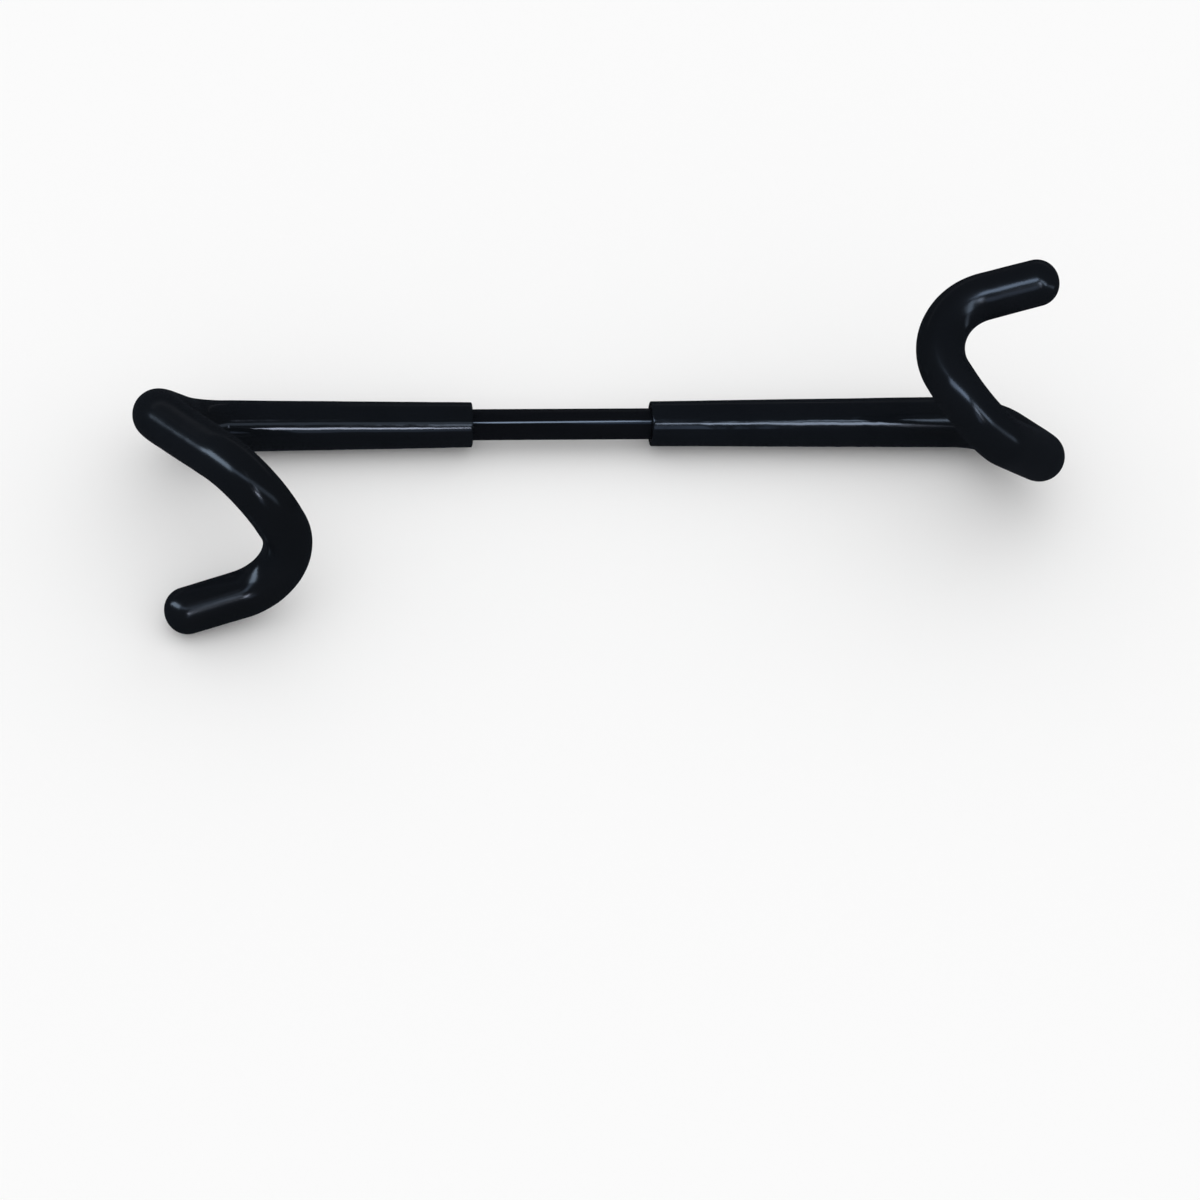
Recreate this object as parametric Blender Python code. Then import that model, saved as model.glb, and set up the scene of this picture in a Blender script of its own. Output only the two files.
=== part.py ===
# Sprung telescoping cargo bar with a vinyl-dipped pigtail hook on each end.
# The bar runs along X. It lies on the floor, z = 0, on its sleeves and the left hook's tip.
import math

import bmesh
import bpy
from mathutils import Matrix, Vector

# Hook tubes, bent cold on one die
TUBE_RADIUS = 0.010
TUBE_BORE = 0.009
BEND_RADIUS = 0.029
# Each bend is (straight fed before it, turn of the tube in the bender, bend angle), in mm and degrees
BENDS = ((0, 0, 65), (16, -32, 66.5), (43.5, -24.5, 93), (6, -67, 105))
TIP_STRAIGHT = 0.0262
BEND_START = 0.187
LEFT_MOUTH = -0.0638
RIGHT_MOUTH = 0.0287
LEFT_TURN = 30.4
RIGHT_TURN = 65.0
BEND_STEP = 12.0
TUBE_SIDES = 16

# Vinyl dip: it runs thickest where the hook begins
COAT_MOUTH = 0.0116
COAT_BEND = 0.0132
COAT_TIP = 0.0117
COAT_BORE = 0.0103
COAT_LIP = 0.0015
AXIS_HEIGHT = COAT_BEND
BAR_Y = 0.0578  # puts the middle of the footprint at Y = 0

GAP = 0.0003
ROUND_SIDES = 24

# Inner tube, pinned in the left hook tube
INNER_RADIUS = 0.008
INNER_BORE = 0.0068
INNER_LEFT = -0.140
INNER_RIGHT = 0.1544

# Guides
BUSH_LENGTH = 0.024
BUSH_BORE = 0.00823
BUSH_RADIUS = 0.0087
BUSH_FLANGE_RADIUS = 0.0097
BUSH_FLANGE = 0.0009
GUIDE_BORE = 0.0059
GUIDE_RADIUS = 0.0065
GUIDE_DEPTH = 0.008
GUIDE_FLANGE = 0.002

# Pins
PIN_X = -0.120
PIN_RADIUS = 0.002
PLUG_PIN_RADIUS = 0.0015
PLUG_PIN_ROOT = 0.0042

# Anchor at the right end of the spring
PLUG_LEFT = 0.162
PLUG_LENGTH = 0.016
PLUG_RADIUS = 0.0085
BUFFER_BORE = 0.0061
BUFFER_RADIUS = 0.0084
EYE_X = 0.156
EYE_WIRE = 0.0015
EYE_RADIUS = 0.0038
SHANK_BORE = 0.0019
WASHER_RADIUS = 0.005
WASHER_THICKNESS = 0.0012
NUT_RADIUS = 0.0036
NUT_LENGTH = 0.004
SHANK_END = 0.1865

# Spring
SPRING_WIRE = 0.0007
SPRING_RADIUS = 0.005
SPRING_TURNS = 46
SPRING_PITCH = 0.0023
SPRING_START = -0.070
STEPS_PER_TURN = 8
HOOK_CLEARANCE = 0.0005

ALONG_X = Matrix(((0, 0, 1, 0), (0, -1, 0, 0), (1, 0, 0, 0), (0, 0, 0, 1)))


def clear_scene():
    for old in list(bpy.data.objects):
        bpy.data.objects.remove(old, do_unlink=True)


def finish(color, roughness, metallic):
    material = bpy.data.materials.new("finish")
    material.use_nodes = True
    shader = material.node_tree.nodes["Principled BSDF"]
    shader.inputs["Base Color"].default_value = (*color, 1.0)
    shader.inputs["Roughness"].default_value = roughness
    shader.inputs["Metallic"].default_value = metallic
    return material


def add_object(name, bm, material):
    # Close the mesh up as an object whose origin is on the bar's axis
    bmesh.ops.recalc_face_normals(bm, faces=bm.faces)
    mesh = bpy.data.meshes.new(name)
    bm.to_mesh(mesh)
    bm.free()
    mesh.shade_smooth()
    mesh.set_sharp_from_angle(angle=math.radians(35))
    mesh.materials.append(material)
    item = bpy.data.objects.new(name, mesh)
    item.location = (0, BAR_Y, AXIS_HEIGHT)
    bpy.context.collection.objects.link(item)
    return item


# Frames along a hook: local Z runs along the tube, and each carries its distance from the mouth

def bend_step(frame, turn, angle):
    inward = Matrix.Rotation(turn, 4, "Z") @ Matrix.Translation((BEND_RADIUS, 0, 0))
    return frame @ inward @ Matrix.Rotation(angle, 4, "Y") @ inward.inverted()


def feed(frame, distance):
    return frame @ Matrix.Translation((0, 0, distance))


def hook_stations(start, straight):
    stations = [(start, 0.0), (feed(start, straight), straight)]
    turn = 0.0
    for fed, roll, angle in BENDS:
        frame, run = stations[-1]
        if fed:
            stations.append((feed(frame, fed / 1000), run + fed / 1000))
        turn += math.radians(roll)
        steps = round(angle / BEND_STEP)
        step = math.radians(angle) / steps
        for _ in range(steps):
            frame, run = stations[-1]
            stations.append((bend_step(frame, turn, step), run + step * BEND_RADIUS))
    frame, run = stations[-1]
    stations.append((feed(frame, TIP_STRAIGHT), run + TIP_STRAIGHT))
    return stations


def coat_radius(run, straight, total):
    if run <= straight:
        return COAT_MOUTH + (COAT_BEND - COAT_MOUTH) * run / straight
    return COAT_BEND + (COAT_TIP - COAT_BEND) * (run - straight) / (total - straight)


def dome(frame, radius, steps=4):
    # Rings of a half ball beyond the last frame, ending in a small flat
    rings = []
    for i in range(1, steps + 1):
        angle = math.radians(84) * i / steps
        rings.append((feed(frame, radius * math.sin(angle)), radius * math.cos(angle)))
    return rings


def sweep(rings, joined, sides=TUBE_SIDES):
    # Carry one circle through the rings; join the last to the first, or cap both
    bm = bmesh.new()
    place = rings[0][0] @ Matrix.Scale(rings[0][1], 4)
    circle = bmesh.ops.create_circle(bm, segments=sides, radius=1.0, matrix=place)
    first = list({edge for vert in circle["verts"] for edge in vert.link_edges})
    edges = first
    for frame, radius in rings[1:]:
        following = frame @ Matrix.Scale(radius, 4)
        made = bmesh.ops.extrude_edge_only(bm, edges=edges)["geom"]
        verts = [item for item in made if isinstance(item, bmesh.types.BMVert)]
        edges = [item for item in made if isinstance(item, bmesh.types.BMEdge)]
        edges = [edge for edge in edges if all(vert in verts for vert in edge.verts)]
        bmesh.ops.transform(bm, verts=verts, matrix=following @ place.inverted())
        place = following
    if joined:
        bmesh.ops.bridge_loops(bm, edges=first + edges)
    else:
        for loop in (first, edges):
            bmesh.ops.contextual_create(bm, geom=loop)
    return bm


def turned(profile, sides=ROUND_SIDES, frame=ALONG_X):
    # Spin a closed outline of (distance along, radius) points round the frame's Z
    bm = bmesh.new()
    verts = [bm.verts.new((radius, 0, along)) for along, radius in profile]
    edges = [bm.edges.new(pair) for pair in zip(verts, verts[1:] + verts[:1])]
    bmesh.ops.spin(
        bm, geom=verts + edges, cent=(0, 0, 0), axis=(0, 0, 1), angle=math.tau, steps=sides, use_merge=True)
    bmesh.ops.remove_doubles(bm, verts=bm.verts, dist=0.00001)
    lone = [edge for edge in bm.edges if not edge.link_faces]
    bmesh.ops.delete(bm, geom=lone, context="EDGES")
    bmesh.ops.transform(bm, verts=bm.verts, matrix=frame)
    return bm


def ring_profile(left, right, outer, bore):
    return [(left, bore), (right, bore), (right, outer), (left, outer)]


def cylinder(name, radius, low, high, x, material):
    # A round bar across the tube, along Y
    bm = bmesh.new()
    middle = Matrix.Translation((x, (low + high) / 2, 0))
    bmesh.ops.create_cone(
        bm, cap_ends=True, segments=ROUND_SIDES, radius1=radius, radius2=radius, depth=high - low,
        matrix=middle @ Matrix.Rotation(math.radians(90), 4, "X"))
    return add_object(name, bm, material)


def drill(item, radius, low, high, x):
    cutter = cylinder(item.name + "_drill", radius, low, high, x, item.data.materials[0])
    cutter.hide_render = True
    cutter.display_type = "WIRE"
    cut = item.modifiers.new("drill", "BOOLEAN")
    cut.operation = "DIFFERENCE"
    cut.object = cutter


def bent_wire(name, points, radius, sides_extra, material):
    curve = bpy.data.curves.new(name, "CURVE")
    curve.dimensions = "3D"
    curve.bevel_depth = radius
    curve.bevel_resolution = sides_extra
    curve.use_fill_caps = True
    spline = curve.splines.new("POLY")
    spline.points.add(len(points) - 1)
    for slot, point in zip(spline.points, points):
        slot.co = (*point, 1.0)
    curve.materials.append(material)
    item = bpy.data.objects.new(name, curve)
    item.location = (0, BAR_Y, AXIS_HEIGHT)
    bpy.context.collection.objects.link(item)
    return item


def arc(center, radius, start, end, steps, across):
    # Points of an arc round center; across is the axis it shares a plane with X
    points = []
    for i in range(steps + 1):
        angle = math.radians(start + (end - start) * i / steps)
        points.append(center + Vector((math.cos(angle), 0, 0)) * radius + across * math.sin(angle) * radius)
    return points


def hook_half(side, start, straight, materials):
    # Hook tube, its domed end plug and the dip over both
    stations = hook_stations(start, straight)
    total = stations[-1][1]
    tip = stations[-1][0]
    steel = [(feed(start, COAT_LIP), 0.0)] + stations[1:]
    outside = [(frame, TUBE_RADIUS) for frame, _ in steel]
    inside = [(frame, TUBE_BORE) for frame, _ in reversed(steel)]
    tube = add_object(side + "_hook_tube", sweep(outside + inside, True), materials["steel"])

    skin = [(frame, coat_radius(run, straight, total)) for frame, run in stations]
    lining = [(frame, COAT_BORE) for frame, _ in stations]
    cup = list(reversed(dome(tip, COAT_BORE))) + list(reversed(lining)) + skin + dome(tip, COAT_TIP)
    add_object(side + "_coating", sweep(cup, False), materials["vinyl"])

    head = TUBE_RADIUS - 0.0001
    profile = [(-0.008, 0.0), (-0.008, PLUG_RADIUS), (GAP, PLUG_RADIUS), (GAP, head)]
    for i in range(1, 5):
        angle = math.radians(90) * i / 4
        profile.append((GAP + (head - GAP) * math.sin(angle), head * math.cos(angle)))
    add_object(side + "_end_plug", turned(profile, TUBE_SIDES, tip), materials["plug"])
    return tube


def mouth_bush(side, mouth, direction, materials):
    # Flanged liner bush just inside a mouth; direction points into the hook tube
    face = mouth + direction * GAP
    collar = face + direction * BUSH_FLANGE
    end = collar + direction * BUSH_LENGTH
    profile = [
        (face, BUSH_BORE), (end, BUSH_BORE), (end, BUSH_RADIUS),
        (collar, BUSH_RADIUS), (collar, BUSH_FLANGE_RADIUS), (face, BUSH_FLANGE_RADIUS)]
    add_object(side + "_mouth_bush", turned(profile), materials["nylon"])


def spring_points():
    # Hook round the cross pin, straight leg, coils, straight leg, hook round the eye
    up = Vector((0, 0, 1))
    pin = Vector((PIN_X, 0, 0))
    pin_loop = PIN_RADIUS + SPRING_WIRE + HOOK_CLEARANCE
    ring = Vector((EYE_X - EYE_RADIUS, 0, 0))
    ring_loop = EYE_WIRE + SPRING_WIRE + HOOK_CLEARANCE
    end = SPRING_START + SPRING_TURNS * SPRING_PITCH
    points = arc(pin, pin_loop, 330, 75, 12, up)
    points.append(Vector((PIN_X + 3 * pin_loop, 0, 0)))
    points.append(Vector((SPRING_START - SPRING_PITCH, 0, 0)))
    for i in range(SPRING_TURNS * STEPS_PER_TURN + 1):
        angle = math.tau * i / STEPS_PER_TURN
        along = SPRING_START + SPRING_PITCH * i / STEPS_PER_TURN
        points.append(Vector((along, SPRING_RADIUS * math.sin(angle), SPRING_RADIUS * math.cos(angle))))
    points.append(Vector((end + SPRING_PITCH, 0, 0)))
    points.append(Vector((EYE_X - EYE_RADIUS - 3 * ring_loop, 0, 0)))
    points += arc(ring, ring_loop, 105, -150, 12, up)
    return points


def eye_points():
    # Shank on the axis, then the wire wraps round into an eye that lies flat
    side = Vector((0, 1, 0))
    center = Vector((EYE_X, 0, 0))
    points = [Vector((SHANK_END, 0, 0)), Vector((EYE_X + EYE_RADIUS + 0.003, 0, 0))]
    return points + arc(center, EYE_RADIUS, 28, 328, 14, side)


def build():
    clear_scene()
    materials = {
        "vinyl": finish((0.006, 0.007, 0.009), 0.16, 0.0),
        "paint": finish((0.008, 0.009, 0.011), 0.2, 0.0),
        "steel": finish((0.20, 0.20, 0.21), 0.42, 1.0),
        "spring": finish((0.42, 0.42, 0.43), 0.28, 1.0),
        "zinc": finish((0.60, 0.61, 0.63), 0.3, 1.0),
        "nylon": finish((0.012, 0.012, 0.013), 0.45, 0.0),
        "plug": finish((0.02, 0.02, 0.022), 0.5, 0.0),
        "rubber": finish((0.015, 0.015, 0.015), 0.7, 0.0),
    }

    tilt = Matrix.Rotation(math.radians(LEFT_TURN), 4, "X") @ Matrix.Rotation(math.pi, 4, "Z")
    left_start = tilt @ Matrix.Translation((-LEFT_MOUTH, 0, 0)) @ ALONG_X
    left_tube = hook_half("left", left_start, BEND_START + LEFT_MOUTH, materials)
    tilt = Matrix.Rotation(math.radians(RIGHT_TURN), 4, "X")
    right_start = tilt @ Matrix.Translation((RIGHT_MOUTH, 0, 0)) @ ALONG_X
    right_tube = hook_half("right", right_start, BEND_START - RIGHT_MOUTH, materials)
    mouth_bush("left", LEFT_MOUTH, -1, materials)
    mouth_bush("right", RIGHT_MOUTH, 1, materials)

    inner = ring_profile(INNER_LEFT, INNER_RIGHT, INNER_RADIUS, INNER_BORE)
    inner_tube = add_object("inner_tube", turned(inner), materials["paint"])
    flange = INNER_RIGHT + GAP
    profile = [
        (INNER_RIGHT - GUIDE_DEPTH, GUIDE_BORE), (flange + GUIDE_FLANGE, GUIDE_BORE),
        (flange + GUIDE_FLANGE, PLUG_RADIUS), (flange, PLUG_RADIUS),
        (flange, GUIDE_RADIUS), (INNER_RIGHT - GUIDE_DEPTH, GUIDE_RADIUS)]
    add_object("rear_guide", turned(profile), materials["nylon"])

    reach = TUBE_RADIUS - 0.0001
    cylinder("cross_pin", PIN_RADIUS, -reach, reach, PIN_X, materials["zinc"])
    for item in (left_tube, inner_tube):
        drill(item, PIN_RADIUS + GAP, -COAT_BORE, COAT_BORE, PIN_X)

    buffer_left = flange + GUIDE_FLANGE + GAP
    buffer = ring_profile(buffer_left, PLUG_LEFT - GAP, BUFFER_RADIUS, BUFFER_BORE)
    add_object("buffer_ring", turned(buffer), materials["rubber"])
    plug = ring_profile(PLUG_LEFT, PLUG_LEFT + PLUG_LENGTH, PLUG_RADIUS, SHANK_BORE)
    anchor_plug = add_object("anchor_plug", turned(plug), materials["steel"])
    plug_middle = PLUG_LEFT + PLUG_LENGTH / 2
    cylinder("plug_pin", PLUG_PIN_RADIUS, PLUG_PIN_ROOT, reach, plug_middle, materials["zinc"])
    for item in (right_tube, anchor_plug):
        drill(item, PLUG_PIN_RADIUS + GAP, PLUG_PIN_ROOT - GAP, COAT_BORE, plug_middle)

    washer_left = PLUG_LEFT + PLUG_LENGTH + GAP
    washer = ring_profile(washer_left, washer_left + WASHER_THICKNESS, WASHER_RADIUS, SHANK_BORE)
    add_object("thrust_washer", turned(washer), materials["zinc"])
    nut_left = washer_left + WASHER_THICKNESS + GAP
    nut = ring_profile(nut_left, nut_left + NUT_LENGTH, NUT_RADIUS, SHANK_BORE)
    add_object("swivel_nut", turned(nut, 6), materials["zinc"])
    bent_wire("swivel_eye", eye_points(), EYE_WIRE, 2, materials["zinc"])
    bent_wire("spring", spring_points(), SPRING_WIRE, 1, materials["spring"])


build()
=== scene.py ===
import math

import bmesh
import bpy
from mathutils import Matrix, Vector, noise


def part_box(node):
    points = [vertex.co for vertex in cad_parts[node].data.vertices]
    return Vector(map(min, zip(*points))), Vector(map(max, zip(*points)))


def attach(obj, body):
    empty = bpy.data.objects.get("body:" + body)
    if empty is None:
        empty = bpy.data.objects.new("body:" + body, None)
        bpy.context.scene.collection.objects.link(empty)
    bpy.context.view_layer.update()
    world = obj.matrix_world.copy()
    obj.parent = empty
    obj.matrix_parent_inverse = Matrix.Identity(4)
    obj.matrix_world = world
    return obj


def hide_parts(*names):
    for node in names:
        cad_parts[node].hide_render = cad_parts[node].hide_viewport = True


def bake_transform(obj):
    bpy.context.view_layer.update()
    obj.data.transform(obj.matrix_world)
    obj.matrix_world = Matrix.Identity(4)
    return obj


# A sprung cargo bar: an enamelled middle tube, and a vinyl-dipped pigtail hook at each end.
# The bar runs along X. Sizes are in metres unless a name says otherwise.

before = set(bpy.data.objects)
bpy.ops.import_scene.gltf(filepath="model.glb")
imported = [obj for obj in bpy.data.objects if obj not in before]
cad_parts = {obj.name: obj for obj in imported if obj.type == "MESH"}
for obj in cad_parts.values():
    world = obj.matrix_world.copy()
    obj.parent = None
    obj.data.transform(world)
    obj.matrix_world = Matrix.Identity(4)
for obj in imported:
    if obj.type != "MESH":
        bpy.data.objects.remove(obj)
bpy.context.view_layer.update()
print("frame loaded:", len(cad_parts), "nodes")

mm = 0.001
quarterTurn = math.radians(90)
alongX = Matrix(((0, 0, 1, 0), (0, -1, 0, 0), (1, 0, 0, 0), (0, 0, 0, 1)))  # lays a part's Z along the bar

innerLow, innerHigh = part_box("inner_tube")
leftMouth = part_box("left_coating")[1].x
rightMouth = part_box("right_coating")[0].x
axisPoint = Vector((0, (innerLow.y + innerHigh.y) / 2, (innerLow.z + innerHigh.z) / 2))
onAxis = Matrix.Translation(axisPoint)  # parts are drawn round the world's X, then lifted onto the axis


def linearColor(hexText):
    # sRGB hex to the linear values that shaders and lamps take
    channels = [int(hexText[i:i + 2], 16) / 255 for i in (1, 3, 5)]
    curved = [c / 12.92 if c <= 0.04045 else ((c + 0.055) / 1.055) ** 2.4 for c in channels]
    return (*curved, 1.0)


def addNode(tree, kind, settings=None, links=None):
    # Settings fill sockets by name or number, or else the node's own properties
    node = tree.nodes.new(kind)
    for name, value in (settings or {}).items():
        if isinstance(name, int) or name in node.inputs:
            node.inputs[name].default_value = value
        else:
            setattr(node, name, value)
    for name, socket in (links or {}).items():
        tree.links.new(socket, node.inputs[name])
    return node


def newMaterial(name, baseHex, roughness, metallic, ior=1.5):
    # 1.5 is the shader's default IOR, which the metals keep
    material = bpy.data.materials.new(name)
    material.use_nodes = True
    tree = material.node_tree
    shader = tree.nodes["Principled BSDF"]
    shader.inputs["Base Color"].default_value = linearColor(baseHex)
    shader.inputs["Roughness"].default_value = roughness
    shader.inputs["Metallic"].default_value = metallic
    shader.inputs["IOR"].default_value = ior
    return material, tree, shader


def noiseAt(tree, vector, sizeMm, detail=2.0, stretch=(1, 1, 1)):
    # Noise whose cells are about sizeMm across, stretched along any axis
    scaled = addNode(tree, "ShaderNodeMapping", {"Scale": stretch}, {"Vector": vector})
    settings = {"Scale": 1000.0 / sizeMm, "Detail": detail, "Roughness": 0.5}
    return addNode(tree, "ShaderNodeTexNoise", settings, {"Vector": scaled.outputs["Vector"]}).outputs["Fac"]


def bumpFrom(tree, height, distanceMm, before=None):
    # A bump distanceMm deep, on top of the one before it
    settings = {"Distance": distanceMm * mm, "Strength": 1.0}
    links = {"Height": height}
    if before:
        links["Normal"] = before
    return addNode(tree, "ShaderNodeBump", settings, links).outputs["Normal"]


def spread(tree, value, fromLow, fromHigh, toLow, toHigh):
    # Carry a value from one range onto another, held at both ends
    settings = {"From Min": fromLow, "From Max": fromHigh, "To Min": toLow, "To Max": toHigh}
    return addNode(tree, "ShaderNodeMapRange", settings, {"Value": value}).outputs["Result"]


def mixTones(tree, share, firstHex, secondHex):
    # Sockets 6 and 7 of a colour mix are its two tones, and output 2 is the mixed one
    settings = {"data_type": "RGBA", 6: linearColor(firstHex), 7: linearColor(secondHex)}
    return addNode(tree, "ShaderNodeMix", settings, {0: share}).outputs[2]


def vinylDip():
    # Plasticised PVC, dipped hot and fused: a wet black skin with a slow roll, faint orange peel
    # and the dull rubs that handling leaves
    material, tree, shader = newMaterial("vinylDip", "#0d0f12", 0.11, 0.0, 1.53)
    along = addNode(tree, "ShaderNodeAttribute", {"attribute_name": "alongTube"}).outputs["Vector"]
    peel = noiseAt(tree, along, 2.6, 1.5)
    roll = noiseAt(tree, along, 14.0, 1.0, (1, 1, 0.6))
    pits = noiseAt(tree, along, 0.9, 3.0)
    rub = noiseAt(tree, along, 9.0, 4.0, (1, 1, 0.35))
    patches = noiseAt(tree, along, 30.0, 2.0)
    normal = bumpFrom(tree, roll, 0.10)
    normal = bumpFrom(tree, peel, 0.010, normal)
    normal = bumpFrom(tree, pits, 0.0015, normal)
    both = addNode(tree, "ShaderNodeMath", {"operation": "MULTIPLY"}, {0: rub, 1: patches}).outputs[0]
    tree.links.new(normal, shader.inputs["Normal"])
    # The straight sleeve stays glossier than the hook, which is gripped and rubs on what it holds.
    # The change lies between 110 and 170 mm from the mouth.
    run = addNode(tree, "ShaderNodeSeparateXYZ", None, {0: along}).outputs["Z"]
    handled = spread(tree, run, 0.11, 0.17, 0.0, 0.10)
    worn = spread(tree, both, 0.18, 0.42, 0.07, 0.13)
    sheen = addNode(tree, "ShaderNodeMath", {"operation": "ADD"}, {0: worn, 1: handled}).outputs[0]
    tree.links.new(sheen, shader.inputs["Roughness"])
    tree.links.new(mixTones(tree, patches, "#0b0d10", "#101317"), shader.inputs["Base Color"])
    return material


def stovedEnamel():
    # Black enamel stoved on drawn tube: harder and glossier than the vinyl, with faint lengthwise
    # marks where the bushes have rubbed it
    material, tree, shader = newMaterial("stovedEnamel", "#0a0b0e", 0.09, 0.0, 1.52)
    where = addNode(tree, "ShaderNodeTexCoord").outputs["Object"]
    marks = noiseAt(tree, where, 0.5, 3.0, (0.012, 1, 1))
    smears = noiseAt(tree, where, 12.0, 3.0, (0.25, 1, 1))
    orange = noiseAt(tree, where, 1.8, 1.0)
    normal = bumpFrom(tree, marks, 0.0012)
    normal = bumpFrom(tree, orange, 0.003, normal)
    tree.links.new(normal, shader.inputs["Normal"])
    both = addNode(tree, "ShaderNodeMath", {"operation": "MULTIPLY"}, {0: marks, 1: smears}).outputs[0]
    tree.links.new(spread(tree, both, 0.15, 0.40, 0.06, 0.16), shader.inputs["Roughness"])
    tree.links.new(mixTones(tree, smears, "#090a0d", "#0f1115"), shader.inputs["Base Color"])
    return material


def drawnSteel():
    # Cold-drawn mild steel as it leaves the mill: grey, with a lengthwise draw and a film of oil
    material, tree, shader = newMaterial("drawnSteel", "#8b8d90", 0.38, 1.0)
    along = addNode(tree, "ShaderNodeAttribute", {"attribute_name": "alongTube"}).outputs["Vector"]
    draw = noiseAt(tree, along, 0.35, 3.0, (1, 1, 0.02))
    film = noiseAt(tree, along, 11.0, 3.0, (1, 1, 0.4))
    tree.links.new(bumpFrom(tree, draw, 0.006), shader.inputs["Normal"])
    tree.links.new(spread(tree, film, 0.3, 0.7, 0.28, 0.5), shader.inputs["Roughness"])
    tree.links.new(mixTones(tree, film, "#85878b", "#6d6b69"), shader.inputs["Base Color"])
    return material


def zincPlate():
    # Bright zinc, clear passivated: silver with a faint blue and straw cloud
    material, tree, shader = newMaterial("zincPlate", "#c6c9cc", 0.28, 1.0)
    where = addNode(tree, "ShaderNodeTexCoord").outputs["Object"]
    cloud = noiseAt(tree, where, 3.5, 3.0)
    grain = noiseAt(tree, where, 0.25, 2.0)
    tree.links.new(bumpFrom(tree, grain, 0.003), shader.inputs["Normal"])
    tree.links.new(spread(tree, cloud, 0.3, 0.7, 0.22, 0.36), shader.inputs["Roughness"])
    tree.links.new(mixTones(tree, cloud, "#bfc6cd", "#cfccc0"), shader.inputs["Base Color"])
    return material


def springWire():
    # Hard-drawn spring wire, oiled: dark bright grey with fine die lines round the coil
    material, tree, shader = newMaterial("springWire", "#77797d", 0.3, 1.0)
    where = addNode(tree, "ShaderNodeTexCoord").outputs["Object"]
    oil = noiseAt(tree, where, 4.0, 3.0)
    lines = noiseAt(tree, where, 0.2, 2.0, (1, 0.2, 0.2))
    tree.links.new(bumpFrom(tree, lines, 0.003), shader.inputs["Normal"])
    tree.links.new(spread(tree, oil, 0.3, 0.7, 0.22, 0.42), shader.inputs["Roughness"])
    tree.links.new(mixTones(tree, oil, "#7c7f84", "#5f5a54"), shader.inputs["Base Color"])
    return material


def mouldedBlack(name, baseHex, secondHex, roughness, ior, grainMm, depthMm):
    # A moulded black part: the tool's fine grain, and a slow change of sheen where it cooled
    material, tree, shader = newMaterial(name, baseHex, roughness, 0.0, ior)
    where = addNode(tree, "ShaderNodeTexCoord").outputs["Object"]
    grain = noiseAt(tree, where, grainMm, 2.0)
    flow = noiseAt(tree, where, 6.0, 2.0)
    tree.links.new(bumpFrom(tree, grain, depthMm), shader.inputs["Normal"])
    sheen = spread(tree, flow, 0.3, 0.7, roughness - 0.07, roughness + 0.07)
    tree.links.new(sheen, shader.inputs["Roughness"])
    tree.links.new(mixTones(tree, flow, baseHex, secondHex), shader.inputs["Base Color"])
    return material


materials = {
    "vinyl": vinylDip(),
    "enamel": stovedEnamel(),
    "steel": drawnSteel(),
    "zinc": zincPlate(),
    "wire": springWire(),
    # Nylon 6, injection moulded: satin with a spark-eroded grain
    "nylon": mouldedBlack("mouldedNylon", "#18191b", "#202124", 0.42, 1.53, 0.35, 0.012),
    # Low-density polythene: waxy and a little grey
    "polythene": mouldedBlack("polythenePlug", "#1d1e20", "#26272a", 0.5, 1.51, 0.8, 0.010),
    # Nitrile rubber: dull, with a dusty bloom
    "rubber": mouldedBlack("bufferRubber", "#161616", "#222222", 0.72, 1.52, 0.25, 0.02),
}
print("materials:", ", ".join(sorted(material.name for material in materials.values())))


def finishPiece(name, bm, material, body, replaced, sharpDegrees=32):
    # Turn a bmesh into a piece in its place, riding on its body
    mesh = bpy.data.meshes.new(name)
    bm.to_mesh(mesh)
    bm.free()
    mesh.shade_smooth()
    mesh.set_sharp_from_angle(angle=math.radians(sharpDegrees))
    mesh.materials.append(materials[material])
    item = bpy.data.objects.new(name, mesh)
    bpy.context.scene.collection.objects.link(item)
    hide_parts(replaced)
    if body:
        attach(item, body)
    return item


def feed(frameAt, distance):
    # Push the tube straight on through the bender
    return frameAt @ Matrix.Translation((0, 0, distance))


def sweepRings(rings, sides, joined, swell=None):
    # Carry one circle through rings of (frame, radius, run). With joined, the last ring is bridged to the
    # first; otherwise both ends close in a point. Each point keeps where it was on the unbent tube.
    bm = bmesh.new()
    layer = bm.verts.layers.float_vector.new("alongTube")
    placed = rings[0][0] @ Matrix.Scale(rings[0][1], 4)
    circle = bmesh.ops.create_circle(bm, segments=sides, radius=1.0, matrix=placed)["verts"]
    edges = first = list({edge for vert in circle for edge in vert.link_edges})
    laid = [circle]
    for frameAt, radius, _ in rings[1:]:
        following = frameAt @ Matrix.Scale(radius, 4)
        made = bmesh.ops.extrude_edge_only(bm, edges=edges)["geom"]
        verts = [item for item in made if isinstance(item, bmesh.types.BMVert)]
        fresh = set(verts)
        edges = [item for item in made if isinstance(item, bmesh.types.BMEdge)
                 and all(vert in fresh for vert in item.verts)]
        bmesh.ops.transform(bm, verts=verts, matrix=following @ placed.inverted())
        placed = following
        laid.append(verts)
    for (frameAt, radius, run), verts in zip(rings, laid):
        back = frameAt.inverted()
        turnOnly = frameAt.to_3x3()
        for vert in verts:
            spot = back @ vert.co
            outward = Vector((spot.x, spot.y, 0)) / radius
            vert[layer] = (spot.x, spot.y, run)
            if swell:
                vert.co += turnOnly @ outward * swell(outward, run)
    if joined:
        bmesh.ops.bridge_loops(bm, edges=first + edges)
    else:
        for loop in (laid[0], laid[-1]):
            middle = sum((vert.co for vert in loop), Vector()) / len(loop)
            bmesh.ops.pointmerge(bm, verts=loop, merge_co=middle)
    bmesh.ops.recalc_face_normals(bm, faces=bm.faces)
    return bm


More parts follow.
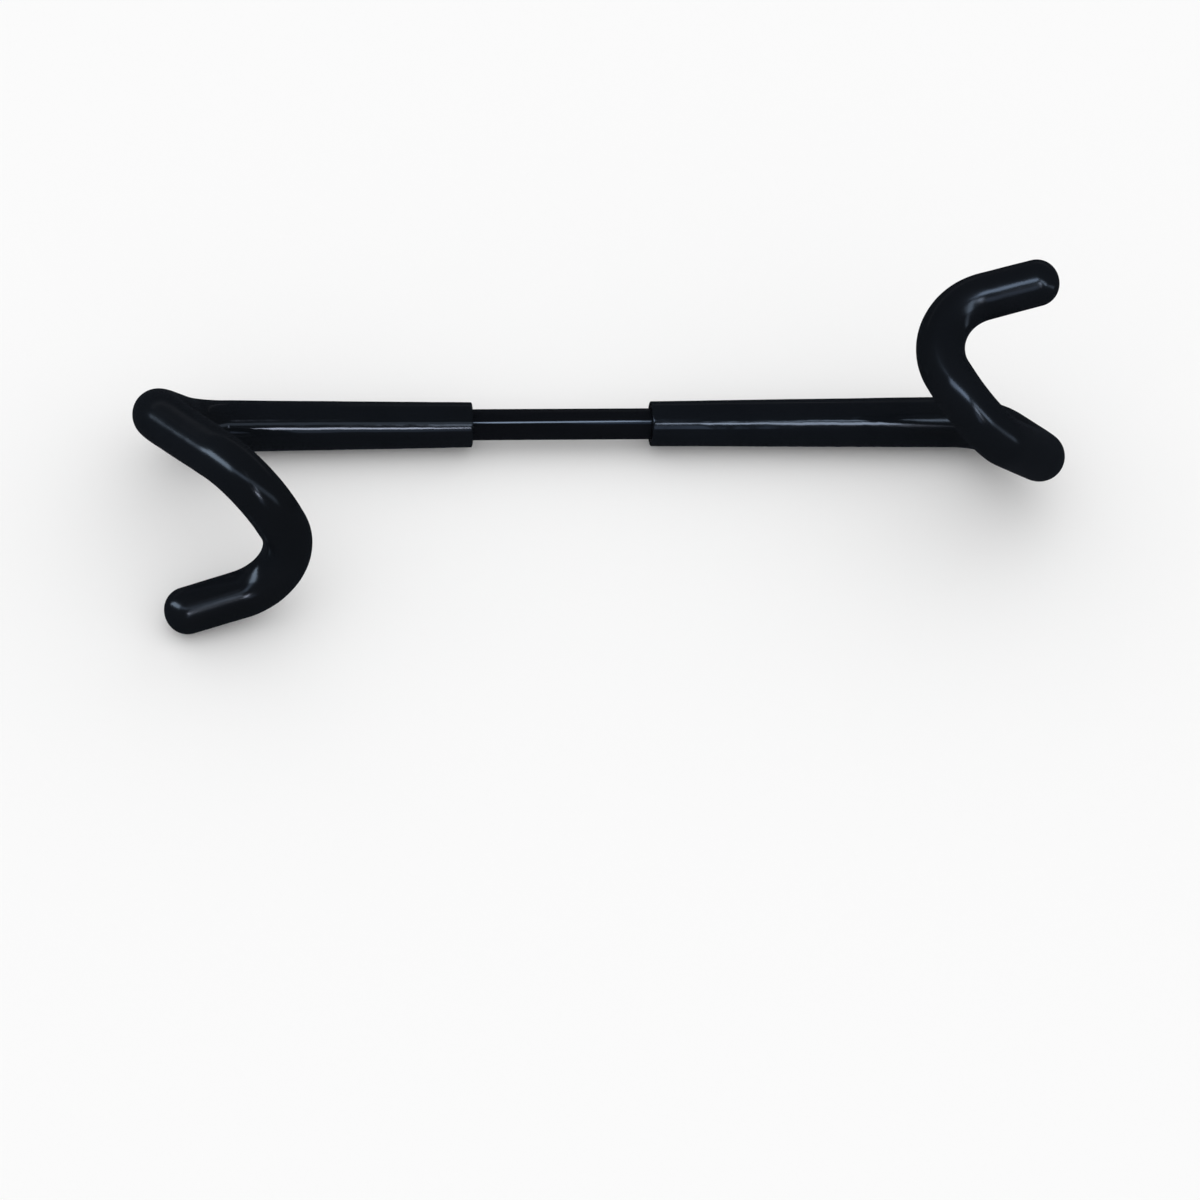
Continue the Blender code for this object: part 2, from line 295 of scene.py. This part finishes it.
def roundEdges(bm, width, segments=2, sharpDegrees=40):
    # Break the sharp edges, as a mould or a file does
    sharp = [edge for edge in bm.edges
             if len(edge.link_faces) == 2 and edge.calc_face_angle() > math.radians(sharpDegrees)]
    bmesh.ops.bevel(
        bm, geom=sharp, offset=width, offset_type="OFFSET", segments=segments, profile=0.5,
        affect="EDGES", clamp_overlap=True, material=-1)


def turnedPart(outline, sides, place, broken=0.15 * mm):
    # Spin a closed outline of (distance along, radius) points round the place's Z
    bm = bmesh.new()
    verts = [bm.verts.new((radius, 0, along)) for along, radius in outline]
    edges = [bm.edges.new(pair) for pair in zip(verts, verts[1:] + verts[:1])]
    bmesh.ops.spin(
        bm, geom=verts + edges, cent=(0, 0, 0), axis=(0, 0, 1), angle=math.tau, steps=sides, use_merge=True)
    bmesh.ops.remove_doubles(bm, verts=bm.verts, dist=0.01 * mm)
    loose = [edge for edge in bm.edges if not edge.link_faces]
    bmesh.ops.delete(bm, geom=loose, context="EDGES")
    bmesh.ops.recalc_face_normals(bm, faces=bm.faces)
    if broken:
        roundEdges(bm, broken)
    layer = bm.verts.layers.float_vector.new("alongTube")
    for vert in bm.verts:
        vert[layer] = vert.co.copy()
    bmesh.ops.transform(bm, verts=bm.verts, matrix=place)
    return bm


def ringOutline(left, right, outer, bore):
    # The section of a plain ring or tube
    return [(left, bore), (right, bore), (right, outer), (left, outer)]


def crossPin(radius, low, high, x, broken):
    # A round pin across the bar, along Y, with broken ends
    bm = bmesh.new()
    place = onAxis @ Matrix.Translation((x, (low + high) / 2, 0)) @ Matrix.Rotation(quarterTurn, 4, "X")
    bmesh.ops.create_cone(
        bm, cap_ends=True, segments=48, radius1=radius, radius2=radius, depth=high - low, matrix=place)
    if broken:
        roundEdges(bm, broken)
    return bm


def drill(item, radius, low, high, x):
    # Cut a cross hole through a finished piece and keep the cut mesh
    cutterMesh = bpy.data.meshes.new("drill")
    bm = crossPin(radius, low, high, x, 0)
    bm.to_mesh(cutterMesh)
    bm.free()
    cutter = bpy.data.objects.new("drill", cutterMesh)
    bpy.context.scene.collection.objects.link(cutter)
    cut = item.modifiers.new("drill", "BOOLEAN")
    cut.operation = "DIFFERENCE"
    cut.object = cutter
    bpy.context.view_layer.update()
    ready = item.evaluated_get(bpy.context.evaluated_depsgraph_get())
    drilled = bpy.data.meshes.new_from_object(ready)
    item.modifiers.clear()
    item.data = drilled
    bpy.data.objects.remove(cutter)


def bentWire(name, points, radius, resolution):
    # A wire along the points, as a bmesh
    curve = bpy.data.curves.new(name, "CURVE")
    curve.dimensions = "3D"
    curve.bevel_depth = radius
    curve.bevel_resolution = resolution
    curve.use_fill_caps = True
    spline = curve.splines.new("POLY")
    spline.points.add(len(points) - 1)
    for slot, point in zip(spline.points, points):
        slot.co = (*(axisPoint + point), 1.0)
    line = bpy.data.objects.new(name + "_line", curve)
    bpy.context.scene.collection.objects.link(line)
    bpy.context.view_layer.update()
    ready = line.evaluated_get(bpy.context.evaluated_depsgraph_get())
    mesh = bpy.data.meshes.new_from_object(ready)
    bm = bmesh.new()
    bm.from_mesh(mesh)
    bmesh.ops.remove_doubles(bm, verts=bm.verts, dist=0.001 * mm)
    bmesh.ops.recalc_face_normals(bm, faces=bm.faces)
    bpy.data.objects.remove(line)
    return bm


def arc(center, radius, start, end, steps, across):
    # Points of an arc round center; across is the axis it shares a plane with X
    turns = [math.radians(start + (end - start) * i / steps) for i in range(steps + 1)]
    return [center + Vector((math.cos(a), 0, 0)) * radius + across * (math.sin(a) * radius)
            for a in turns]


# The bent steel tube, the same for both hooks
hook = {
    "die": 29 * mm,           # bend radius, to the tube's middle
    # each bend: fed before it in mm, turn of the tube in degrees, bend in degrees
    "bends": ((0, 0, 65), (16, -32, 66.5), (43.5, -24.5, 93), (6, -67, 105)),
    "tip": 26.2 * mm,         # left straight at the tip
    "bendStart": 187 * mm,    # from the bar's middle
    "tubeRadius": 10 * mm,
    "tubeBore": 9 * mm,
    "tubeSides": 48,
    "step": 3 * mm,           # between the rings of the mesh
    "leftTurn": 30.4,         # how far each hook is turned about the bar, in degrees
    "rightTurn": 65.0,
}

# The vinyl dip over it. It is thickest at the first bend, where the dip gathers.
skin = {
    "mouth": 11.6 * mm, "bend": 13.2 * mm, "tip": 11.7 * mm,   # outer radius along the hook
    "bore": 10.3 * mm,
    "lip": 1.5 * mm,          # how far the skin stands past the tube's end
    "outerRound": 0.55 * mm, "outerSteps": 6,
    "innerRound": 0.35 * mm, "innerSteps": 4,
    "endFlow": 2.15,          # 2 would be a half ball; more starts the round end more gently
    "endSteps": 18, "boreEndSteps": 8,
    "step": 1.2 * mm,
    "sides": 72,
    "slowSwell": 0.10 * mm, "slowSize": 22 * mm,
    "fineSwell": 0.035 * mm, "fineSize": 6 * mm,
    "swellFade": 20 * mm,     # the swell grows from nothing over this run from the mouth
    "leftSeed": 3.1, "rightSeed": 7.7,   # so that the two dips don't swell alike
    "sharpDegrees": 60,
}

# The domed plug in the tube's tip, which keeps the dip out
plug = {
    "stem": 8.5 * mm, "depth": 8 * mm,
    "headInset": 0.1 * mm,    # the head is this much smaller than the tube
    "gap": 0.3 * mm,
    "headSteps": 12, "sides": 48,
}


def hookStart(turn, mouth, flipped):
    # A frame at the mouth whose Z points into the tube. The left hook is the right one turned half round.
    spin = Matrix.Rotation(math.radians(turn), 4, "X")
    if flipped:
        spin = spin @ Matrix.Rotation(math.pi, 4, "Z")
    return onAxis @ spin @ Matrix.Translation((abs(mouth), 0, 0)) @ alongX


def hookStations(start, straight, step):
    # Frames along the tube, each with the distance run from the mouth
    stations = [(start, 0.0)]

    def straightRun(length):
        frameAt, run = stations[-1]
        count = max(1, round(length / step))
        for i in range(1, count + 1):
            stations.append((feed(frameAt, length * i / count), run + length * i / count))

    def bendRun(turn, angle):
        frameAt, run = stations[-1]
        inward = Matrix.Rotation(turn, 4, "Z") @ Matrix.Translation((hook["die"], 0, 0))
        count = max(1, round(angle * hook["die"] / step))
        for i in range(1, count + 1):
            part = angle * i / count
            bent = frameAt @ inward @ Matrix.Rotation(part, 4, "Y") @ inward.inverted()
            stations.append((bent, run + part * hook["die"]))

    straightRun(straight)
    turn = 0.0
    for fed, roll, angle in hook["bends"]:
        if fed:
            straightRun(fed * mm)
        turn += math.radians(roll)
        bendRun(turn, math.radians(angle))
    straightRun(hook["tip"])
    return stations


def skinRadius(run, straight, total):
    # The dip thickens from the mouth to the first bend, then thins to the tip
    if run <= straight:
        return skin["mouth"] + (skin["bend"] - skin["mouth"]) * run / straight
    return skin["bend"] + (skin["tip"] - skin["bend"]) * (run - straight) / (total - straight)


def domeRings(tip, radius, run, steps):
    # A round end beyond the tip that starts out straight, as the dip flows, down to a small ring at its pole
    nearPole = math.radians(89)
    rings = []
    for i in range(1, steps + 1):
        a = nearPole * i / steps
        beyond = radius * math.sin(a) ** (2 / skin["endFlow"])
        rings.append((feed(tip, beyond), radius * math.cos(a), run + beyond))
    return rings


def lipRings(start):
    # From the bore round the mouth's rim to the outer skin
    rings = []
    inner, outer = skin["innerRound"], skin["outerRound"]
    for i in range(skin["innerSteps"] + 1):
        a = quarterTurn * i / skin["innerSteps"]
        depth = inner * (1 - math.sin(a))
        rings.append((feed(start, depth), skin["bore"] + inner * (1 - math.cos(a)), depth))
    for i in range(skin["outerSteps"] + 1):
        a = quarterTurn * i / skin["outerSteps"]
        depth = outer * (1 - math.cos(a))
        rings.append((feed(start, depth), skin["mouth"] - outer * (1 - math.sin(a)), depth))
    return rings


def skinSwell(seed):
    # The dip's own unevenness, which fades out at the mouth
    def swell(outward, run):
        spot = Vector((outward.x * skin["bend"], outward.y * skin["bend"], run + seed))
        slow = noise.noise(spot / skin["slowSize"]) * skin["slowSwell"]
        fine = noise.noise(spot / skin["fineSize"]) * skin["fineSwell"]
        return (slow + fine) * min(1.0, max(0.0, run / skin["swellFade"]))
    return swell


def buildHook(side, body, start, mouth, seed):
    # One hook: its steel tube, the skin over it inside and out, and the plug in its tip
    straight = hook["bendStart"] - abs(mouth)
    coarse = hookStations(start, straight, hook["step"])
    total = coarse[-1][1]
    tip = coarse[-1][0]

    tubeEnd = [(feed(start, skin["lip"]), skin["lip"])] + coarse[1:]
    outside = [(at, hook["tubeRadius"], run) for at, run in tubeEnd]
    inside = [(at, hook["tubeBore"], run) for at, run in reversed(tubeEnd)]
    bm = sweepRings(outside + inside, hook["tubeSides"], True)
    tube = finishPiece(side + "_bent_tube", bm, "steel", body, side + "_hook_tube")

    fine = hookStations(start, straight, skin["step"])
    cup = list(reversed(domeRings(tip, skin["bore"], total, skin["boreEndSteps"])))
    cup += [(at, skin["bore"], run) for at, run in reversed(coarse[1:])]
    cup += lipRings(start)
    cup += [(at, skinRadius(run, straight, total), run) for at, run in fine[1:]]
    cup += domeRings(tip, skin["tip"], total, skin["endSteps"])
    bm = sweepRings(cup, skin["sides"], False, skinSwell(seed))
    finishPiece(side + "_vinyl_skin", bm, "vinyl", body, side + "_coating",
                skin["sharpDegrees"])

    head = hook["tubeRadius"] - plug["headInset"]
    gap, depth, stem = plug["gap"], plug["depth"], plug["stem"]
    outline = [(-depth, 0.0), (-depth, stem), (gap, stem), (gap, head)]
    for i in range(1, plug["headSteps"] + 1):
        a = quarterTurn * i / plug["headSteps"]
        outline.append((gap + (head - gap) * math.sin(a), head * math.cos(a)))
    bm = turnedPart(outline, plug["sides"], tip)
    finishPiece(side + "_tip_plug", bm, "polythene", body, side + "_end_plug")
    print(side, "hook:", round(total * 1000), "mm of tube")
    return tube


leftStart = hookStart(hook["leftTurn"], leftMouth, True)
rightStart = hookStart(hook["rightTurn"], rightMouth, False)
leftTube = buildHook("left", "left_half", leftStart, leftMouth, skin["leftSeed"])
rightTube = buildHook("right", "right_half", rightStart, rightMouth, skin["rightSeed"])

# The liner bushes in the two mouths
bush = {
    "length": 24 * mm, "bore": 8.23 * mm, "radius": 8.7 * mm,
    "flangeRadius": 9.7 * mm, "flange": 0.9 * mm,
    "inset": 0.3 * mm,        # how far the flange sits inside the mouth
    "broken": 0.12 * mm, "sides": 72,
}


def buildBush(side, mouth, direction, body):
    # A flanged bush; direction points from the mouth into the hook tube
    face = mouth + direction * bush["inset"]
    collar = face + direction * bush["flange"]
    end = collar + direction * bush["length"]
    outline = [
        (face, bush["bore"]), (end, bush["bore"]), (end, bush["radius"]),
        (collar, bush["radius"]), (collar, bush["flangeRadius"]), (face, bush["flangeRadius"])]
    bm = turnedPart(outline, bush["sides"], onAxis @ alongX, bush["broken"])
    finishPiece(side + "_liner_bush", bm, "nylon", body, side + "_mouth_bush")


buildBush("left", leftMouth, -1, "left_half")
buildBush("right", rightMouth, 1, "right_half")
print("mouth bushes: left and right")

# The enamelled tube in the middle
middle = {
    "radius": 8 * mm, "bore": 6.8 * mm, "left": innerLow.x, "right": innerHigh.x,
    "broken": 0.2 * mm, "sides": 96,
}
outline = ringOutline(middle["left"], middle["right"], middle["radius"], middle["bore"])
bm = turnedPart(outline, middle["sides"], onAxis @ alongX, middle["broken"])
middleTube = finishPiece("middle_tube", bm, "enamel", "left_half", "inner_tube")

# The guide on the middle tube's hidden end, which slides in the right hook tube
guide = {
    "bore": 5.9 * mm, "radius": 6.5 * mm, "depth": 8 * mm,
    "flange": 2 * mm, "flangeRadius": 8.5 * mm, "gap": 0.3 * mm, "sides": 72,
}
plugEnd = middle["right"] - guide["depth"]
flangeFace = middle["right"] + guide["gap"]
flangeBack = flangeFace + guide["flange"]
outline = [
    (plugEnd, guide["bore"]), (flangeBack, guide["bore"]),
    (flangeBack, guide["flangeRadius"]), (flangeFace, guide["flangeRadius"]),
    (flangeFace, guide["radius"]), (plugEnd, guide["radius"])]
bm = turnedPart(outline, guide["sides"], onAxis @ alongX)
finishPiece("tail_guide", bm, "nylon", "left_half", "rear_guide")
print("middle tube and tail guide")

# The pin that holds the spring's left end, and the one that holds the anchor in the right hook tube
pin = {
    "x": sum(corner.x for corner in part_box("cross_pin")) / 2,
    "radius": 2 * mm, "broken": 0.4 * mm,
    "anchorX": sum(corner.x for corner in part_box("plug_pin")) / 2,
    "anchorRadius": 1.5 * mm, "anchorBroken": 0.3 * mm,
    "anchorRoot": 4.2 * mm,   # how near the bar's axis the anchor pin comes
    "reach": 9.9 * mm, "clearance": 0.3 * mm,
    "holeReach": 11 * mm,     # past the tube's wall, so that each hole goes right through
}
bm = crossPin(pin["radius"], -pin["reach"], pin["reach"], pin["x"], pin["broken"])
finishPiece("spring_pin", bm, "zinc", "left_half", "cross_pin")
bm = crossPin(pin["anchorRadius"], pin["anchorRoot"], pin["reach"], pin["anchorX"], pin["anchorBroken"])
finishPiece("anchor_pin", bm, "zinc", "right_half", "plug_pin")

# The anchor at the spring's right end, with the buffer before it and the washer and nut behind
anchor = {
    "radius": 8.5 * mm, "shankBore": 1.9 * mm, "broken": 0.3 * mm,
    "bufferRadius": 8.4 * mm, "bufferBore": 6.1 * mm, "bufferBroken": 0.5 * mm,
    "washerRadius": 5 * mm, "washerBroken": 0.1 * mm,
    "nutRadius": 3.6 * mm, "nutBroken": 0.2 * mm,
    "ringSides": 64, "washerSides": 48, "nutSides": 6,
}


def ringFromBox(name, node, outer, bore, sides, material, body, broken):
    # A ring as long as its own CAD node
    low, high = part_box(node)
    bm = turnedPart(ringOutline(low.x, high.x, outer, bore), sides, onAxis @ alongX, broken)
    return finishPiece(name, bm, material, body, node)


ringFromBox("stop_ring", "buffer_ring", anchor["bufferRadius"], anchor["bufferBore"],
            anchor["ringSides"], "rubber", "right_half", anchor["bufferBroken"])
steelPlug = ringFromBox("tension_plug", "anchor_plug", anchor["radius"], anchor["shankBore"],
                        anchor["ringSides"], "steel", "right_half", anchor["broken"])
ringFromBox("turning_washer", "thrust_washer", anchor["washerRadius"], anchor["shankBore"],
            anchor["washerSides"], "zinc", "spring_swivel", anchor["washerBroken"])
ringFromBox("lock_nut", "swivel_nut", anchor["nutRadius"], anchor["shankBore"],
            anchor["nutSides"], "zinc", "spring_swivel", anchor["nutBroken"])

# Holes for the pins
for item in (leftTube, middleTube):
    drill(item, pin["radius"] + pin["clearance"], -pin["holeReach"], pin["holeReach"], pin["x"])
for item in (rightTube, steelPlug):
    drill(item, pin["anchorRadius"] + pin["clearance"], pin["anchorRoot"] - pin["clearance"],
          pin["holeReach"], pin["anchorX"])
print("pins, anchor and buffer")

# The wire eye that the spring hooks into: a straight shank, then a ring bent flat
eye = {
    "x": 156 * mm, "wire": 1.5 * mm, "radius": 3.8 * mm, "shankEnd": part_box("swivel_eye")[1].x,
    "neck": 3 * mm,           # straight shank left before the ring
    "ringStart": 28, "ringEnd": 328, "ringSteps": 40,   # the ring's ends, in degrees
    "roundness": 5,
}
neckEnd = eye["x"] + eye["radius"] + eye["neck"]
points = [Vector((eye["shankEnd"], 0, 0)), Vector((neckEnd, 0, 0))]
points += arc(Vector((eye["x"], 0, 0)), eye["radius"], eye["ringStart"], eye["ringEnd"],
              eye["ringSteps"], Vector((0, 1, 0)))
bm = bentWire("wire_eye", points, eye["wire"], eye["roundness"])
finishPiece("wire_eye", bm, "zinc", "spring_swivel", "swivel_eye")

# The tension spring. The turns are fewer and further apart than a real one's.
coil = {
    "wire": 0.7 * mm, "radius": 5 * mm, "turns": 54, "start": -70 * mm, "length": 105.8 * mm,
    "stepsPerTurn": 20, "clearance": 0.5 * mm, "roundness": 2,
    "pinHook": (330, 75), "eyeHook": (105, -150), "hookSteps": 24,   # the end hooks, in degrees
    "legLoops": 3,            # each leg starts this many loop radii from its hook
}


def springPoints():
    # Hook round the cross pin, straight leg, coils, straight leg, hook round the eye
    up = Vector((0, 0, 1))
    pitch = coil["length"] / coil["turns"]
    end = coil["start"] + coil["length"]
    pinLoop = pin["radius"] + coil["wire"] + coil["clearance"]
    eyeLoop = eye["wire"] + coil["wire"] + coil["clearance"]
    ringX = eye["x"] - eye["radius"]
    line = arc(Vector((pin["x"], 0, 0)), pinLoop, *coil["pinHook"], coil["hookSteps"], up)
    line.append(Vector((pin["x"] + coil["legLoops"] * pinLoop, 0, 0)))
    line.append(Vector((coil["start"] - pitch, 0, 0)))
    for i in range(coil["turns"] * coil["stepsPerTurn"] + 1):
        angle = math.tau * i / coil["stepsPerTurn"]
        along = coil["start"] + pitch * i / coil["stepsPerTurn"]
        side, height = coil["radius"] * math.sin(angle), coil["radius"] * math.cos(angle)
        line.append(Vector((along, side, height)))
    line.append(Vector((end + pitch, 0, 0)))
    line.append(Vector((ringX - coil["legLoops"] * eyeLoop, 0, 0)))
    return line + arc(Vector((ringX, 0, 0)), eyeLoop, *coil["eyeHook"], coil["hookSteps"], up)


bm = bentWire("tension_spring", springPoints(), coil["wire"], coil["roundness"])
spring = finishPiece("tension_spring", bm, "wire", None, "spring")
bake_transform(spring)
print("eye and spring")

# The camera stands in front and well above, its turn in degrees
view = {
    "place": (-0.2049, -1.1421, 1.4186), "turn": (37.889, -4.648, -4.426),
    "lens": 107.95, "sensor": 36,
}
camera = bpy.data.objects.new("camera", bpy.data.cameras.new("camera"))
camera.data.lens = view["lens"]
camera.data.sensor_width = view["sensor"]
camera.location = view["place"]
camera.rotation_euler = [math.radians(angle) for angle in view["turn"]]
bpy.context.scene.collection.objects.link(camera)
bpy.context.scene.camera = camera

# A plain pale floor, which the gloss doesn't mirror
floorReach = 6.0  # from its middle to its edge
bm = bmesh.new()
bmesh.ops.create_grid(bm, x_segments=1, y_segments=1, size=floorReach)
floorMesh = bpy.data.meshes.new("floor")
bm.to_mesh(floorMesh)
bm.free()
floor = bpy.data.objects.new("floor", floorMesh)
bpy.context.scene.collection.objects.link(floor)
# Matt background paper: near white, with no shine at all
material, tree, shader = newMaterial("paperSweep", "#fbfbfb", 1.0, 0.0)
shader.inputs["Specular IOR Level"].default_value = 0.0
floorMesh.materials.append(material)
floor.visible_glossy = False

# Soft studio lamps. Each hangs between two bearings seen from the bar: (azimuth, height) in degrees, with
# azimuth 0 on the near side and turning towards +X. Then come its width in degrees, its brightness where
# white is 1, its tone, and the part it shines on, as flags and screens round a set would arrange.
lamps = {
    "leftSoftbox": ((-0.6, 39), (5.9, 31.5), 4.5, 11.0, "#dde8ff", "left"),
    "leftSkirt": ((-2, 25), (7, 23), 13, 0.5, "#c0d8ff", "left"),
    "leftTop": ((-7, 74), (1, 74), 7, 0.8, "#d6e4ff", "left"),
    "tipSoftbox": ((6.5, 47), (12, 47), 10, 3.2, "#d2e4ff", "left"),
    "sideFoot": ((-111, 5), (-108, 10), 8, 1.4, "#cee5ff", "left"),
    "sideLow": ((-108, 10), (-104, 23), 9, 4.0, "#cee5ff", "left"),
    "sideHigh": ((-104, 23), (-64, 49), 15, 4.4, "#cee5ff", "left"),
    "sideFade": ((-64, 49), (-10, 58), 9, 1.2, "#c4ddff", "left"),
    "farGlow": ((-10, 60), (60, 24), 10, 0.7, "#cbe2ff", "left"),
    "middleSoftbox": ((-15, 62.5), (28, 67), 9, 8.0, "#c6dfff", "middle"),
    "middleGlow": ((6, 54), (20, 54), 9, 0.8, "#a9ccff", "middle"),
    "rightSoftbox": ((11.4, 51), (15.8, 38.5), 4.5, 7.5, "#d2e4ff", "right"),
    "rightFade": ((15.8, 38.5), (17.5, 28), 5, 2.0, "#dfe9ff", "right"),
    "rightTip": ((1, 30), (9, 30), 18, 0.9, "#bcd6ff", "right"),
    "overheadLeft": ((-82, 55), (-50, 66), 14, 3.6, "#c4ddff", "right"),
    "overheadRight": ((-50, 66), (4, 62), 12, 5.0, "#c4ddff", "right"),
    "farHigh": ((19, 58.5), (44, 28), 8, 3.4, "#cbe2ff", "right"),
    "farLow": ((44, 28), (80, -8), 8, 0.8, "#cbe2ff", "right"),
    "rearLeft": ((130, 14), (178, 14), 6, 0.12, "#eef3ff", "all"),
    "rearRight": ((182, 14), (230, 14), 6, 0.12, "#eef3ff", "all"),
}
lampDistance = 6.0
lampParts = {
    "left": ["left_vinyl_skin", "left_liner_bush"],
    "middle": ["middle_tube"],
    "right": ["right_vinyl_skin", "right_liner_bush"],
}


def bearing(azimuth, height):
    # The way from the bar towards a bearing
    a, h = math.radians(azimuth), math.radians(height)
    return Vector((math.sin(a) * math.cos(h), -math.cos(a) * math.cos(h), math.sin(h)))


def hangLamp(name, ends, width, brightness, tone):
    # A rectangular lamp from one end to the other, facing the bar
    place = (ends[0] + ends[1]) / 2
    lengthwise = (ends[1] - ends[0]).normalized()
    back = (place - axisPoint).normalized()
    lamp = bpy.data.lights.new(name, "AREA")
    lamp.shape = "RECTANGLE"
    lamp.size = (ends[1] - ends[0]).length
    lamp.size_y = 2 * lampDistance * math.tan(math.radians(width / 2))
    lamp.energy = brightness * math.pi * lamp.size * lamp.size_y
    lamp.color = linearColor(tone)[:3]
    turn = Matrix((lengthwise, back.cross(lengthwise), back)).transposed()
    holder = bpy.data.objects.new(name, lamp)
    holder.matrix_world = Matrix.Translation(place) @ turn.to_4x4()
    holder.visible_camera = False
    bpy.context.scene.collection.objects.link(holder)
    return holder


receivers = {}
for part, names in lampParts.items():
    receivers[part] = bpy.data.collections.new("lit_" + part)
    for item in names:
        receivers[part].objects.link(bpy.data.objects[item])

for name, (first, last, width, brightness, tone, part) in lamps.items():
    ends = [axisPoint + bearing(*end) * lampDistance for end in (first, last)]
    holder = hangLamp(name, ends, width, brightness, tone)
    if part in receivers:
        holder.light_linking.receiver_collection = receivers[part]

# The room: white all round for soft light, but dark in the gloss, where only the lamps show
room = {"white": (1.0, 1.0, 1.0, 1.0), "inGloss": (0.018, 0.021, 0.027, 1.0)}
world = bpy.data.worlds.new("studio")
world.use_nodes = True
bpy.context.scene.world = world
tree = world.node_tree
paths = addNode(tree, "ShaderNodeLightPath")
settings = {"data_type": "RGBA", 6: room["white"], 7: room["inGloss"]}
tones = addNode(tree, "ShaderNodeMix", settings, {0: paths.outputs["Is Glossy Ray"]})
tree.links.new(tones.outputs[2], tree.nodes["Background"].inputs["Color"])
bpy.context.scene.view_settings.view_transform = "Standard"
print("camera, floor and", len(lamps), "lamps")
